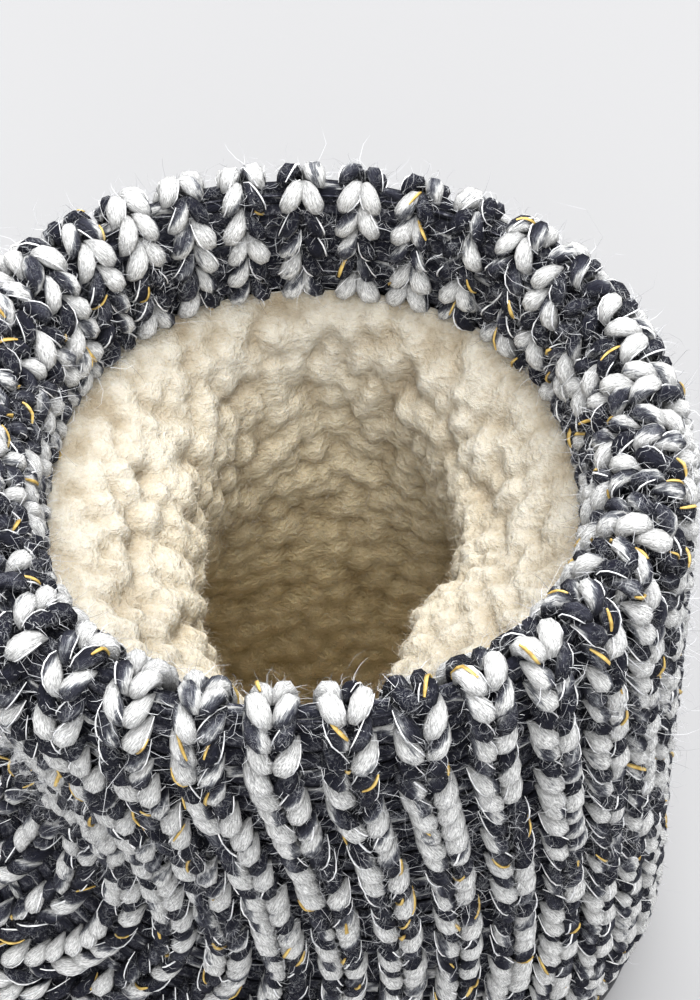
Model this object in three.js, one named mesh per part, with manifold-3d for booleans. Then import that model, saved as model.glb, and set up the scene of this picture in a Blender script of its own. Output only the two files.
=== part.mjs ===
import * as THREE from 'three';
import { mergeVertices } from 'three/addons/utils/BufferGeometryUtils.js';
import Module from 'manifold-3d';

// Left slipper bootie, mm. The toe points along +X, the wearer's left is +Y and the floor is z = 0.

// Sole sizes
const SOLE_THICKNESS = 12;
const SOLE_MARGIN = 2;
const SOLE_BEAD = 1.2;
const SOLE_EDGE_ROUND = 1.6;
const ARCH_RISE = 2.6;
const ARCH_START = 88;
const ARCH_END = 142;
const SPRING_START = 204;
const SPRING_RUN = 58;
const SPRING_RISE = 9;
const BAR_DEPTH = 1.8;
const BAR_GAP = 3;
const BAR_PITCH = 13;
const HEEL_BARS = { from: 26, to: 78 };
const FOREFOOT_BARS = { from: 150, to: 216 };

// Knit sizes
const RIBS = 36;
const RIB_DEPTH = 2.2;
const WALL = 6;
const COLLAR_RISE = 18;
const COLLAR_ROLL = 11.5;
const COLLAR_ROLL_ENDS = 8.5;
const COLLAR_ROLL_FRONT = 3.7;
const FOLD_DEPTH = 11;
const FOLD_EDGE_ROUND = 2;
const FOLD_LIP = 0.5;

// Lining and footbed sizes
const GAP = 0.3;
const BACKING_GAP = 0.8;
const LINING_COLUMNS = 40;
const TUFT_HEIGHT = 1.6;
const PILE_SPREAD = 1.3;
const INSOLE_THICKNESS = 5;

// Steps of the surfaces
const COLUMNS = RIBS * 2;
const SOLE_COLUMNS = 72;
const OUTLINE_COLUMNS = 160;
const ROW_STEP = 0.5;
const INSIDE_STEP = 1;
const CREST_STEPS = 6;
const ARC_SAMPLES = 240;
const LEAST_HALF = 0.4;
const MERGE_TOLERANCE = 1e-4;
const REACH = 400;
const EDGE_SEARCH_STEPS = 40;

// Sections of the knit from the collar down the shaft, round the heel and along the foot to the toe.
// Each is a closed loop in a plane from its front or top point to its back or under point.
const SECTION_NAMES = ['frontX', 'frontZ', 'backX', 'backZ', 'halfWidth', 'shift', 'squareness'];
const SECTIONS = [
  [141.0, 168.0, 10.0, 168.0, 57.0, 0.0, 2.12],
  [135.0, 152.0, 8.0, 143.5, 57.5, 0.0, 2.1],
  [130.0, 136.0, 6.0, 117.0, 57.0, 0.0, 2.1],
  [127.5, 121.0, 4.5, 88.0, 55.5, 0.5, 2.15],
  [128.5, 106.0, 2.0, 57.5, 53.0, 1.0, 2.2],
  [135.5, 92.5, 1.5, 29.0, 51.5, 1.0, 2.25],
  [148.5, 82.0, 12.0, 3.0, 50.5, 1.0, 2.3],
  [167.0, 74.0, 52.0, -4.0, 50.0, 1.0, 2.35],
  [188.5, 66.5, 112.0, -4.0, 50.5, 0.0, 2.4],
  [211.0, 58.5, 168.0, -4.0, 51.0, -1.5, 2.5],
  [231.0, 50.0, 208.0, -3.0, 47.5, -4.0, 2.5],
  [247.0, 41.0, 232.0, -2.0, 40.0, -6.0, 2.5],
  [257.0, 29.0, 243.0, -1.0, 31.0, -7.0, 2.4],
  [261.0, 16.0, 248.0, 0.0, 22.0, -7.5, 2.2],
  [259.0, 5.0, 250.0, 1.0, 10.0, -7.5, 2.0],
];
const TOE_ROW = SECTIONS.length - 1;

// Depth of the lining's pile inward from the knit, at rows of the table above. The lobe adds to it at the
// outer side of the back.
const PILE_NAMES = ['row', 'front', 'outer', 'inner', 'back', 'lobe'];
const PILE = [
  [0.58, 25.0, 13.5, 13.0, 18.5, 0.0],
  [0.9, 32.0, 18.0, 14.0, 29.0, 4.0],
  [1.3, 38.0, 21.0, 15.0, 37.0, 8.0],
  [1.9, 36.0, 23.0, 16.0, 36.0, 8.0],
  [3.0, 26.0, 22.0, 16.5, 26.0, 4.0],
  [4.5, 15.0, 16.0, 15.0, 16.0, 0.0],
  [TOE_ROW, 13.0, 13.0, 13.0, 13.0, 0.0],
];
const TUFTED_ROWS = 4;

// Smooth value of one table column at a row between the rows.
function smoothColumn(table, column, row) {
  const last = table.length - 1;
  const at = Math.min(Math.max(row, 0), last);
  const base = Math.min(Math.floor(at), last - 1);
  const t = at - base;
  const value = (index) => table[Math.min(Math.max(index, 0), last)][column];
  const slopeIn = (value(base + 1) - value(base - 1)) / 2;
  const slopeOut = (value(base + 2) - value(base)) / 2;
  const rise = value(base + 1) - value(base);
  const bend = 3 * rise - 2 * slopeIn - slopeOut;
  const twist = slopeIn + slopeOut - 2 * rise;
  return value(base) + t * (slopeIn + t * (bend + t * twist));
}

function sectionAt(row) {
  const entries = SECTION_NAMES.map((name, column) => [name, smoothColumn(SECTIONS, column, row)]);
  return Object.fromEntries(entries);
}

// Point of a section's loop at an angle from its front or top point, moved inward by an inset.
function loopPoint(section, angle, inset) {
  const front = new THREE.Vector3(section.frontX, section.shift, section.frontZ);
  const back = new THREE.Vector3(section.backX, section.shift, section.backZ);
  const chord = front.clone().sub(back);
  const half = Math.max(chord.length() / 2 - inset, LEAST_HALF);
  const width = Math.max(section.halfWidth - inset, LEAST_HALF);
  const power = 2 / section.squareness;
  const along = half * Math.sign(Math.cos(angle)) * Math.abs(Math.cos(angle)) ** power;
  const across = width * Math.sign(Math.sin(angle)) * Math.abs(Math.sin(angle)) ** power;
  const point = front.clone().add(back).multiplyScalar(0.5).addScaledVector(chord.normalize(), along);
  point.y += across;
  return point;
}

// Angles of columns that stand an equal length of the loop apart.
const angleCache = new Map();
function columnAngles(row, count) {
  const key = `${row.toFixed(4)}:${count}`;
  if (angleCache.has(key)) return angleCache.get(key);
  const section = sectionAt(row);
  const lengths = [0];
  let previous = loopPoint(section, 0, 0);
  for (let i = 1; i <= ARC_SAMPLES; i += 1) {
    const point = loopPoint(section, (2 * Math.PI * i) / ARC_SAMPLES, 0);
    lengths.push(lengths[i - 1] + point.distanceTo(previous));
    previous = point;
  }
  const angles = [];
  let sample = 0;
  for (let column = 0; column < count; column += 1) {
    const target = (lengths[ARC_SAMPLES] * column) / count;
    while (lengths[sample + 1] < target) sample += 1;
    const share = (target - lengths[sample]) / (lengths[sample + 1] - lengths[sample]);
    angles.push((2 * Math.PI * (sample + share)) / ARC_SAMPLES);
  }
  angleCache.set(key, angles);
  return angles;
}

// Ring of points at a row, with an inset that may depend on the column and its angle.
function ring(row, count, insetOf) {
  const section = sectionAt(row);
  return columnAngles(row, count).map((angle, column) => loopPoint(section, angle, insetOf(column, angle)));
}

function facets(coordinates, index) {
  const geometry = new THREE.BufferGeometry();
  geometry.setAttribute('position', new THREE.Float32BufferAttribute(coordinates, 3));
  geometry.setIndex(index);
  return geometry;
}

// Closed skin from rings that lie one after another, with a centre point at each end. A turned skin
// has the same facets facing the other way.
function skin(rings, turned = false) {
  const count = rings[0].length;
  const centre = (points) => points.reduce((sum, p) => sum.add(p), new THREE.Vector3()).divideScalar(count);
  const points = [centre(rings[0]), ...rings.flat(), centre(rings[rings.length - 1])];
  const index = [];
  const end = points.length - 1;
  for (let column = 0; column < count; column += 1) {
    const next = (column + 1) % count;
    index.push(0, 1 + next, 1 + column);
    for (let level = 0; level < rings.length - 1; level += 1) {
      const low = 1 + level * count;
      const high = low + count;
      index.push(low + column, low + next, high + next);
      index.push(low + column, high + next, high + column);
    }
    const top = end - count;
    index.push(end, top + column, top + next);
  }
  if (turned) index.reverse();
  return facets(points.flatMap((p) => p.toArray()), index);
}

const wasm = await Module();
wasm.setup();

function solid(geometry) {
  const bare = geometry.clone();
  bare.deleteAttribute('normal');
  bare.deleteAttribute('uv');
  const merged = mergeVertices(bare, MERGE_TOLERANCE);
  const vertProperties = new Float32Array(merged.attributes.position.array);
  const triVerts = new Uint32Array(merged.index.array);
  return new wasm.Manifold(new wasm.Mesh({ numProp: 3, vertProperties, triVerts }));
}

function geometryOf(manifold) {
  const mesh = manifold.getMesh();
  return facets(Array.from(mesh.vertProperties), Array.from(mesh.triVerts));
}

function block(fromX, toX, fromZ, toZ) {
  const box = new THREE.BoxGeometry(toX - fromX, 2 * REACH, toZ - fromZ);
  return solid(box.translate((fromX + toX) / 2, 0, (fromZ + toZ) / 2));
}

function span(from, to, step) {
  const count = Math.round(Math.abs(to - from) / step);
  return Array.from({ length: count + 1 }, (unused, i) => from + ((to - from) * i) / count);
}

// Everything of the foot that lies under the sole's top face is cut away.
const soleTop = SOLE_THICKNESS + GAP;
const belowSole = block(-REACH, REACH, -REACH, soleTop);

// Knit upper: up the outside from the toe to the collar, over the roll and down the inside to the toe.
const ribInset = (column) => (column % 2) * RIB_DEPTH;
function rollDepth(angle) {
  const forward = Math.cos(angle);
  return COLLAR_ROLL + COLLAR_ROLL_ENDS * forward ** 2 + COLLAR_ROLL_FRONT * forward;
}

function collarRing(inset, lift) {
  const points = ring(0, COLUMNS, inset);
  return points.map((p) => p.setZ(p.z + lift));
}

function crestRing(turn) {
  const across = (1 - Math.cos(turn)) / 2;
  const out = (column, angle) => rollDepth(angle) * across + ribInset(column) * Math.cos(turn);
  const points = collarRing(out, COLLAR_RISE * Math.sin(turn));
  return points.map((p, column) => p.setZ(p.z - ribInset(column) * Math.sin(turn)));
}

function upperRings() {
  const outside = span(TOE_ROW, 0, ROW_STEP).map((row) => ring(row, COLUMNS, ribInset));
  const crest = span(0, Math.PI, Math.PI / (CREST_STEPS + 1)).slice(1).map(crestRing);
  const foldFace = (column, angle) => rollDepth(angle) - ribInset(column);
  const foldEdge = (column, angle) => Math.max(rollDepth(angle) - FOLD_EDGE_ROUND, WALL + FOLD_LIP);
  const fold = [
    collarRing(foldFace, FOLD_EDGE_ROUND - FOLD_DEPTH),
    collarRing(foldEdge, -FOLD_DEPTH),
    collarRing(() => WALL, -FOLD_DEPTH),
  ];
  const inside = span(1, TOE_ROW, INSIDE_STEP).map((row) => ring(row, COLUMNS, () => WALL));
  return [...outside, ...crest, ...fold, ...inside];
}

const upper = solid(skin(upperRings())).subtract(belowSole);

// Sherpa lining: its outside follows the knit's inside, and its pile swells into the throat.
function pileDepth(row, angle) {
  const rows = PILE.map((entry) => entry[PILE_NAMES.indexOf('row')]);
  let index = 0;
  while (index < rows.length - 2 && rows[index + 1] < row) index += 1;
  const share = (row - rows[index]) / (rows[index + 1] - rows[index]);
  const at = (name) => smoothColumn(PILE, PILE_NAMES.indexOf(name), index + share);
  const end = Math.cos(angle) > 0 ? at('front') : at('back');
  const side = Math.sin(angle) > 0 ? at('outer') : at('inner');
  const outerBack = Math.sin(angle) > 0 ? Math.max(-Math.sin(2 * angle), 0) : 0;
  return side + (end - side) * Math.abs(Math.cos(angle)) ** PILE_SPREAD + at('lobe') * outerBack;
}

function liningInside(more) {
  const first = PILE[0][PILE_NAMES.indexOf('row')] + ROW_STEP / 2;
  const tufted = span(first, TUFTED_ROWS, ROW_STEP / 2).map((row, level) => {
    const tuft = (column) => ((column + level) % 2) * TUFT_HEIGHT;
    return ring(row, LINING_COLUMNS, (column, angle) => pileDepth(row, angle) + tuft(column) + more);
  });
  const foot = span(TUFTED_ROWS + 1, TOE_ROW, INSIDE_STEP).map((row) => {
    return ring(row, LINING_COLUMNS, (column, angle) => pileDepth(row, angle) + more);
  });
  return [...tufted, ...foot];
}

function liningRings() {
  const topRow = PILE[0][PILE_NAMES.indexOf('row')];
  const backing = WALL + BACKING_GAP;
  const outside = span(TOE_ROW, 1, INSIDE_STEP).map((row) => ring(row, LINING_COLUMNS, () => backing));
  const lift = -FOLD_DEPTH - GAP;
  const topEdge = (inset) => ring(0, LINING_COLUMNS, inset).map((p) => p.setZ(p.z + lift));
  const rim = [topEdge(() => backing), topEdge((column, angle) => pileDepth(topRow, angle))];
  return [...outside, ...rim, ...liningInside(0)];
}

const lining = solid(skin(liningRings())).subtract(belowSole);

// Outline of a surface where it meets the sole's top face, as points an equal length apart from the toe on.
function footOutline(count) {
  const points = [];
  for (let column = 0; column < OUTLINE_COLUMNS; column += 1) {
    let high = 0;
    let low = TOE_ROW;
    const at = (row) => {
      const angle = columnAngles(row, OUTLINE_COLUMNS)[column];
      return loopPoint(sectionAt(row), angle, 0);
    };
    for (let step = 0; step < EDGE_SEARCH_STEPS; step += 1) {
      const middle = (high + low) / 2;
      if (at(middle).z > soleTop) high = middle;
      else low = middle;
    }
    points.push(at(high).setZ(0));
  }
  const even = new THREE.CatmullRomCurve3(points, true).getSpacedPoints(count);
  return even.slice(0, count);
}

// Outline moved outward along its own normals and set at a height.
function outlineRing(outline, outward, heightOf) {
  const count = outline.length;
  return outline.map((p, i) => {
    const along = outline[(i + 1) % count].clone().sub(outline[(i + count - 1) % count]).normalize();
    return new THREE.Vector3(p.x + along.y * outward, p.y - along.x * outward, heightOf(p.x));
  });
}

// Closed slab from rings of one outline, with end faces laid in strips from side to side.
function slab(rings) {
  const count = rings[0].length;
  const points = rings.flat();
  const index = [];
  for (let level = 0; level < rings.length - 1; level += 1) {
    const low = level * count;
    const high = low + count;
    for (let i = 0; i < count; i += 1) {
      const next = (i + 1) % count;
      index.push(low + i, low + next, high + next);
      index.push(low + i, high + next, high + i);
    }
  }
  const top = (rings.length - 1) * count;
  for (let i = 0; i < count / 2; i += 1) {
    const a = i;
    const b = i + 1;
    const c = (count - i) % count;
    const d = count - i - 1;
    if (c !== a) {
      index.push(a, c, d);
      index.push(top + a, top + d, top + c);
    }
    if (b !== d) {
      index.push(a, d, b);
      index.push(top + a, top + b, top + d);
    }
  }
  return facets(points.flatMap((p) => p.toArray()), index);
}

// Outsole: rounded lower edge, straight side, bead under the feather line, arch and plain bars.
function archRise(x) {
  const share = THREE.MathUtils.clamp((x - ARCH_START) / (ARCH_END - ARCH_START), 0, 1);
  return ARCH_RISE * Math.sin(Math.PI * share) ** 2;
}

const SIDE_NAMES = ['height', 'outward'];
const SIDE = [
  [0, -SOLE_EDGE_ROUND],
  [SOLE_EDGE_ROUND * 0.4, -SOLE_EDGE_ROUND * 0.3],
  [SOLE_EDGE_ROUND * 1.2, 0],
  [SOLE_THICKNESS * 0.6, 0],
  [SOLE_THICKNESS * 0.68, SOLE_BEAD],
  [SOLE_THICKNESS * 0.9, SOLE_BEAD],
  [SOLE_THICKNESS, SOLE_BEAD * 0.2],
];

function bars(run) {
  return span(run.from, run.to, BAR_PITCH).map((x) => block(x, x + BAR_GAP, -SOLE_THICKNESS, BAR_DEPTH));
}

function makeOutsole() {
  const outline = footOutline(SOLE_COLUMNS);
  const rings = SIDE.map((entry) => {
    const height = entry[SIDE_NAMES.indexOf('height')];
    const outward = SOLE_MARGIN + entry[SIDE_NAMES.indexOf('outward')];
    const share = 1 - height / SOLE_THICKNESS;
    return outlineRing(outline, outward, (x) => height + archRise(x) * share);
  });
  const cuts = [...bars(HEEL_BARS), ...bars(FOREFOOT_BARS)];
  return cuts.reduce((sole, bar) => sole.subtract(bar), solid(slab(rings)));
}

// Footbed: the part of the lining's inside that lies on the sole.
const footbed = block(-REACH, REACH, soleTop, soleTop + INSOLE_THICKNESS);
const insole = solid(skin(liningInside(GAP), true)).intersect(footbed);

// The whole shoe is lifted toward the toe by one curve.
function springUp(geometry) {
  const position = geometry.attributes.position;
  for (let i = 0; i < position.count; i += 1) {
    const run = Math.max(position.getX(i) - SPRING_START, 0) / SPRING_RUN;
    position.setZ(i, position.getZ(i) + SPRING_RISE * run * run);
  }
  return geometry;
}

function piece(name, manifold, color, roughness) {
  const geometry = springUp(geometryOf(manifold));
  const material = new THREE.MeshStandardMaterial({ color, roughness, metalness: 0 });
  const mesh = new THREE.Mesh(geometry, material);
  mesh.name = name;
  return mesh;
}

const bootie = new THREE.Group();
bootie.name = 'slipper_bootie';
bootie.add(piece('outsole', makeOutsole(), 0x2c2d33, 0.7));
bootie.add(piece('insole', insole, 0xe6dcc6, 0.95));
bootie.add(piece('sherpa_lining', lining, 0xefe6d2, 1));
bootie.add(piece('upper', upper, 0x6d7080, 0.95));

// The frame's origin is the middle of the shoe's footprint, on the floor.
const bounds = new THREE.Box3().setFromObject(bootie);
const middle = bounds.getCenter(new THREE.Vector3());
for (const mesh of bootie.children) mesh.geometry.translate(-middle.x, -middle.y, -bounds.min.z);

export default bootie;
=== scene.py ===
"""Look of a rib-knit slipper bootie: marl yarn stitches, sherpa lining, footbed and moulded sole."""

import math
from types import SimpleNamespace

import bpy
import numpy as np
from bpy.props import FloatProperty, FloatVectorProperty, IntProperty, PointerProperty
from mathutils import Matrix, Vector


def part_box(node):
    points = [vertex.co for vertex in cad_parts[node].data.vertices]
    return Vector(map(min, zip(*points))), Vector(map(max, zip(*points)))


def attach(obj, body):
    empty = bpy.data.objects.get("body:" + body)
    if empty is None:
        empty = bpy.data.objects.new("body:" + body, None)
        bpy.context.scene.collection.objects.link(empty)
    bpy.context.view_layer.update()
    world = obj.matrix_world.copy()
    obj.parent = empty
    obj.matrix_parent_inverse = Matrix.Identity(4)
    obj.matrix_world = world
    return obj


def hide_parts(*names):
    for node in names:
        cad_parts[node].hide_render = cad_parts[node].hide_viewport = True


bl_info = {
    "name": "Slipper Bootie",
    "version": (1, 0, 0),
    "blender": (4, 5, 0),
    "location": "View3D > Sidebar > Bootie",
    "description": "Knits, lines and soles a slipper bootie over its frame",
    "category": "Object",
}

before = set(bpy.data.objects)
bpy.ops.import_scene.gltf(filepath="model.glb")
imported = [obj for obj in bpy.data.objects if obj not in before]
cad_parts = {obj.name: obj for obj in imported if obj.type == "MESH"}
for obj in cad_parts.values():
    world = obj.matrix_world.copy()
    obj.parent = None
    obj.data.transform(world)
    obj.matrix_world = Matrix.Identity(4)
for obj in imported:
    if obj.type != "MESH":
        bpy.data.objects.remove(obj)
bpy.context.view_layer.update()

MM = 0.001
TINY = 1e-9

# Sections of the knit from the collar down the shaft, round the heel and along the foot to the toe, mm.
# Columns: front x, front z, back x, back z, half width, sideways shift, squareness.
SECTIONS = np.array([
    [141.0, 168.0, 10.0, 168.0, 57.0, 0.0, 2.12],
    [135.0, 152.0, 8.0, 143.5, 57.5, 0.0, 2.1],
    [130.0, 136.0, 6.0, 117.0, 57.0, 0.0, 2.1],
    [127.5, 121.0, 4.5, 88.0, 55.5, 0.5, 2.15],
    [128.5, 106.0, 2.0, 57.5, 53.0, 1.0, 2.2],
    [135.5, 92.5, 1.5, 29.0, 51.5, 1.0, 2.25],
    [148.5, 82.0, 12.0, 3.0, 50.5, 1.0, 2.3],
    [167.0, 74.0, 52.0, -4.0, 50.0, 1.0, 2.35],
    [188.5, 66.5, 112.0, -4.0, 50.5, 0.0, 2.4],
    [211.0, 58.5, 168.0, -4.0, 51.0, -1.5, 2.5],
    [231.0, 50.0, 208.0, -3.0, 47.5, -4.0, 2.5],
    [247.0, 41.0, 232.0, -2.0, 40.0, -6.0, 2.5],
    [257.0, 29.0, 243.0, -1.0, 31.0, -7.0, 2.4],
    [261.0, 16.0, 248.0, 0.0, 22.0, -7.5, 2.2],
    [259.0, 5.0, 250.0, 1.0, 10.0, -7.5, 2.0],
])
TOE_ROW = len(SECTIONS) - 1
LEAST_HALF = 0.4
ARC_SAMPLES = 721

# Depth of the sherpa inward from the knit, mm.
# Columns: section row, front, outer side, inner side, back, and what the outer side of the back has more.
PILE = np.array([
    [0.58, 25.0, 13.5, 13.0, 18.5, 0.0],
    [0.9, 32.0, 18.0, 14.0, 29.0, 4.0],
    [1.3, 38.0, 21.0, 15.0, 37.0, 8.0],
    [1.9, 36.0, 23.0, 16.0, 36.0, 8.0],
    [3.0, 26.0, 22.0, 16.5, 26.0, 4.0],
    [4.5, 15.0, 16.0, 15.0, 16.0, 0.0],
    [TOE_ROW, 13.0, 13.0, 13.0, 13.0, 0.0],
])

# Sole and toe spring, mm.
SOLE_THICKNESS = 12.0
FIT_GAP = 0.3
SOLE_TOP = SOLE_THICKNESS + FIT_GAP
SPRING_START = 204.0
SPRING_RUN = 58.0
SPRING_RISE = 9.0


def length(name, description, size):
    """A setting for a length, given in mm."""
    return FloatProperty(name=name, description=description, default=size * MM, unit="LENGTH", precision=5)


def colour(name, description, value):
    """A setting for a colour."""
    return FloatVectorProperty(name=name, description=description, default=value, subtype="COLOR")


def angle(name, description, degrees):
    """A setting for an angle, given in degrees."""
    return FloatProperty(name=name, description=description, default=math.radians(degrees), subtype="ANGLE")


class KnitSettings(bpy.types.PropertyGroup):
    """Sizes and colours of the rib knit."""

    ribs: IntProperty(name="Ribs", description="Ribs round the collar", default=36)
    course: length("Course", "Height of one stitch", 5.3)
    yarn: length("Yarn", "Radius of the yarn", 1.55)
    roll: length("Roll", "Thickness of the rolled collar at its sides", 11.5)
    roll_ends: length("Roll ends", "How much thicker the roll is at front and back", 8.5)
    roll_front: length("Roll front", "Added to the roll at the front and taken off at the back", 3.7)
    rise: length("Rise", "Height of the roll over the collar's section", 18.0)
    fold: length("Fold", "Depth of the fold inside the collar", 11.0)
    fuzz: IntProperty(name="Fuzz", description="Loose fibres of the knit, about", default=60000)
    seed: IntProperty(name="Seed", description="Seed of the yarn's unevenness", default=11)
    navy: colour("Navy", "Dark ply of the yarn", (0.016, 0.017, 0.028))
    white: colour("White", "Pale ply of the yarn", (0.88, 0.88, 0.87))
    gold: colour("Gold", "Flecks in the yarn", (0.56, 0.40, 0.12))


class LiningSettings(bpy.types.PropertyGroup):
    """Sizes and colours of the sherpa."""

    clump: length("Clump", "Width of one clump of pile", 4.1)
    height: length("Height", "Height of a clump", 2.1)
    stretch: FloatProperty(
        name="Stretch", description="Width of a clump by its length", default=0.62, subtype="FACTOR"
    )
    fibres: IntProperty(name="Fibres", description="Loose fibres on the pile", default=38000)
    seed: IntProperty(name="Seed", description="Seed of the pile", default=5)
    cream: colour("Cream", "Tops of the clumps near the collar", (0.428, 0.399, 0.337))


class StageSettings(bpy.types.PropertyGroup):
    """Camera."""

    elevation: angle("Elevation", "Camera above the horizon", 56.0)
    azimuth: angle("Azimuth", "Camera round the shoe", 180.0)
    distance: length("Distance", "Camera to the collar", 342.7)
    lens: FloatProperty(name="Lens", description="Focal length", default=78.9, unit="CAMERA")
    aim: FloatVectorProperty(
        name="Aim", description="Point in view", default=(-0.0666, 0.0134, 0.182), subtype="XYZ_LENGTH"
    )


def in_mm(settings):
    """The values of a settings group, with its lengths in mm."""
    values = SimpleNamespace()
    for name in type(settings).__annotations__:
        value = getattr(settings, name)
        is_length = settings.bl_rna.properties[name].unit == "LENGTH"
        setattr(values, name, value / MM if is_length else value)
    return values


# Shape of the knit


def unit(v):
    """Vectors of length one."""
    return v / np.maximum(np.linalg.norm(v, axis=-1, keepdims=True), TINY)


def smooth(table, rows):
    """Values of every column of a table at rows between its rows, by a cubic through the rows."""
    last = len(table) - 1
    at = np.clip(np.asarray(rows, float), 0, last)
    base = np.minimum(at.astype(int), last - 1)
    t = (at - base)[:, None]
    p0 = table[np.maximum(base - 1, 0)]
    p1 = table[base]
    p2 = table[base + 1]
    p3 = table[np.minimum(base + 2, last)]
    m1 = (p2 - p0) / 2
    m2 = (p3 - p1) / 2
    return p1 + t * (m1 + t * (3 * (p2 - p1) - 2 * m1 - m2 + t * (m1 + m2 - 2 * (p2 - p1))))


def loops(rows, angles, inset):
    """Closed loops of the sections: a superellipse in each section's own plane, drawn in by an inset."""
    fx, fz, bx, bz, width, shift, square = (column[:, None] for column in smooth(SECTIONS, rows).T)
    chord = np.hypot(fx - bx, fz - bz)
    power = 2 / square
    c = np.cos(angles)
    s = np.sin(angles)
    along = np.maximum(chord / 2 - inset, LEAST_HALF) * np.sign(c) * np.abs(c) ** power
    across = np.maximum(width - inset, LEAST_HALF) * np.sign(s) * np.abs(s) ** power
    x = (fx + bx) / 2 + along * (fx - bx) / chord
    z = (fz + bz) / 2 + along * (fz - bz) / chord
    return np.stack([x, across + shift, z], axis=-1)


def run_of(points):
    """Length so far at each point of a line."""
    return np.concatenate([[0], np.cumsum(np.linalg.norm(np.diff(points, axis=0), axis=1))])


def even_angles(rows, shares):
    """Angles of points that lie at given shares of each loop's length, from its front or top."""
    dense = np.linspace(0, 2 * np.pi, ARC_SAMPLES)
    points = loops(rows, np.broadcast_to(dense, (len(rows), len(dense))), 0)
    steps = np.linalg.norm(np.diff(points, axis=1), axis=2)
    run = np.concatenate([np.zeros((len(rows), 1)), np.cumsum(steps, axis=1)], axis=1)
    run /= run[:, -1:]
    return np.stack([np.interp(shares, line, dense) for line in run])


def toe_lift(x):
    """Lift of the toe: a parabola in x past the ball."""
    return SPRING_RISE * (np.maximum(x - SPRING_START, 0) / SPRING_RUN) ** 2


def spring(points):
    """Points with the toe's lift."""
    lifted = points.copy()
    lifted[..., 2] += toe_lift(points[..., 0])
    return lifted


def sole_top(x, skin):
    """Height of the sole's upper face at x in the frame."""
    return SOLE_TOP + toe_lift(x - skin.shift[0])


def grid_normals(points):
    """Unit normals of a grid that closes round its second axis."""
    up = np.gradient(points, axis=0)
    around = np.roll(points, -1, axis=1) - np.roll(points, 1, axis=1)
    return unit(np.cross(up, around))


def roll_depth(knit, angles):
    """Thickness of the rolled collar: roll + ends cos^2 a + front cos a, with a from the front."""
    return knit.roll + knit.roll_ends * np.cos(angles) ** 2 + knit.roll_front * np.cos(angles)


class KnitSkin:
    """The knit's smooth outer face as a grid: levels from the toe up the outside, over the roll and down
    the fold inside, by columns round each loop. At a turn a over the roll the loop is drawn in by
    depth (1 - cos a) / 2 and raised by rise sin a."""

    COLUMNS = 720
    OUTER_LEVELS = 281
    CREST_LEVELS = 32
    FOLD_LEVELS = 8
    FOLD_TUCK = 1.0
    SHAFT_LEVEL = 245

    def __init__(self, knit):
        shares = np.arange(self.COLUMNS) / self.COLUMNS
        rows = np.linspace(TOE_ROW, 0, self.OUTER_LEVELS)
        outside = loops(rows, even_angles(rows, shares), 0)
        top = np.zeros(1)
        collar = even_angles(top, shares)
        roll = roll_depth(knit, collar)
        levels = [outside]
        for turn in np.linspace(0, np.pi, self.CREST_LEVELS + 1)[1:]:
            loop = loops(top, collar, roll * (1 - np.cos(turn)) / 2)
            levels.append(loop + np.array([0, 0, knit.rise * np.sin(turn)]))
        for drop in np.linspace(0, knit.fold + self.FOLD_TUCK, self.FOLD_LEVELS + 1)[1:]:
            levels.append(loops(top, collar, roll) - np.array([0, 0, drop]))
        points = spring(np.concatenate(levels))
        low = np.array(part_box("upper")[0]) / MM
        self.shift = np.array([low[0] - points[..., 0].min(), low[1] - points[..., 1].min(), 0])
        self.points = points + self.shift
        self.normals = grid_normals(self.points)
        shaft = self.points[self.SHAFT_LEVEL]
        if np.dot(self.normals[self.SHAFT_LEVEL, 0], shaft[0] - shaft.mean(axis=0)) < 0:
            self.normals = -self.normals

    def column(self, share):
        """Points and normals down one column at a share of the way round."""
        at = (share % 1) * self.COLUMNS
        low = int(at)
        t = at - low
        high = (low + 1) % self.COLUMNS
        low %= self.COLUMNS
        return (
            self.points[:, low] * (1 - t) + self.points[:, high] * t,
            self.normals[:, low] * (1 - t) + self.normals[:, high] * t,
        )


# Meshes


def new_mesh(name, points, faces, material, values=None):
    """One smooth object from arrays of points in mm and of faces, with named point attributes."""
    mesh = bpy.data.meshes.new(name)
    points = np.asarray(points, np.float32).reshape(-1, 3) * MM
    faces = np.asarray(faces, np.int32)
    mesh.vertices.add(len(points))
    mesh.vertices.foreach_set("co", points.ravel())
    mesh.loops.add(faces.size)
    mesh.loops.foreach_set("vertex_index", faces.ravel())
    mesh.polygons.add(len(faces))
    mesh.polygons.foreach_set("loop_start", np.arange(len(faces), dtype=np.int32) * faces.shape[1])
    mesh.polygons.foreach_set("use_smooth", np.full(len(faces), True))
    mesh.update(calc_edges=True)
    for key, value in (values or {}).items():
        value = np.asarray(value, np.float32)
        kind, field = ("FLOAT_VECTOR", "vector") if value.ndim > 1 else ("FLOAT", "value")
        mesh.attributes.new(key, kind, "POINT").data.foreach_set(field, value.ravel())
    mesh.validate()
    piece = bpy.data.objects.new(name, mesh)
    bpy.context.scene.collection.objects.link(piece)
    piece.data.materials.append(material)
    return piece


def grid_faces(levels, columns, closed=True):
    """Faces of a grid of levels by columns, which may close round."""
    i = np.arange(levels - 1)[:, None]
    j = np.arange(columns if closed else columns - 1)[None, :]
    k = (j + 1) % columns
    corners = (i * columns + j, i * columns + k, (i + 1) * columns + k, (i + 1) * columns + j)
    return np.stack(np.broadcast_arrays(*corners), -1).reshape(-1, 4)


def faces_above_sole(points, skin, clearance):
    """Faces of a closed grid of points that are clear of the sole all over."""
    faces = grid_faces(*points.shape[:2])
    above = (points[..., 2] > sole_top(points[..., 0], skin) + clearance).ravel()
    return faces[above[faces].all(axis=1)]


def tube_faces(count, along, around):
    """Faces of many like tubes: each a grid of rings that closes round."""
    start = np.arange(count)[:, None, None] * along * around
    return (grid_faces(along, around)[None] + start).reshape(-1, 4)


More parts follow.
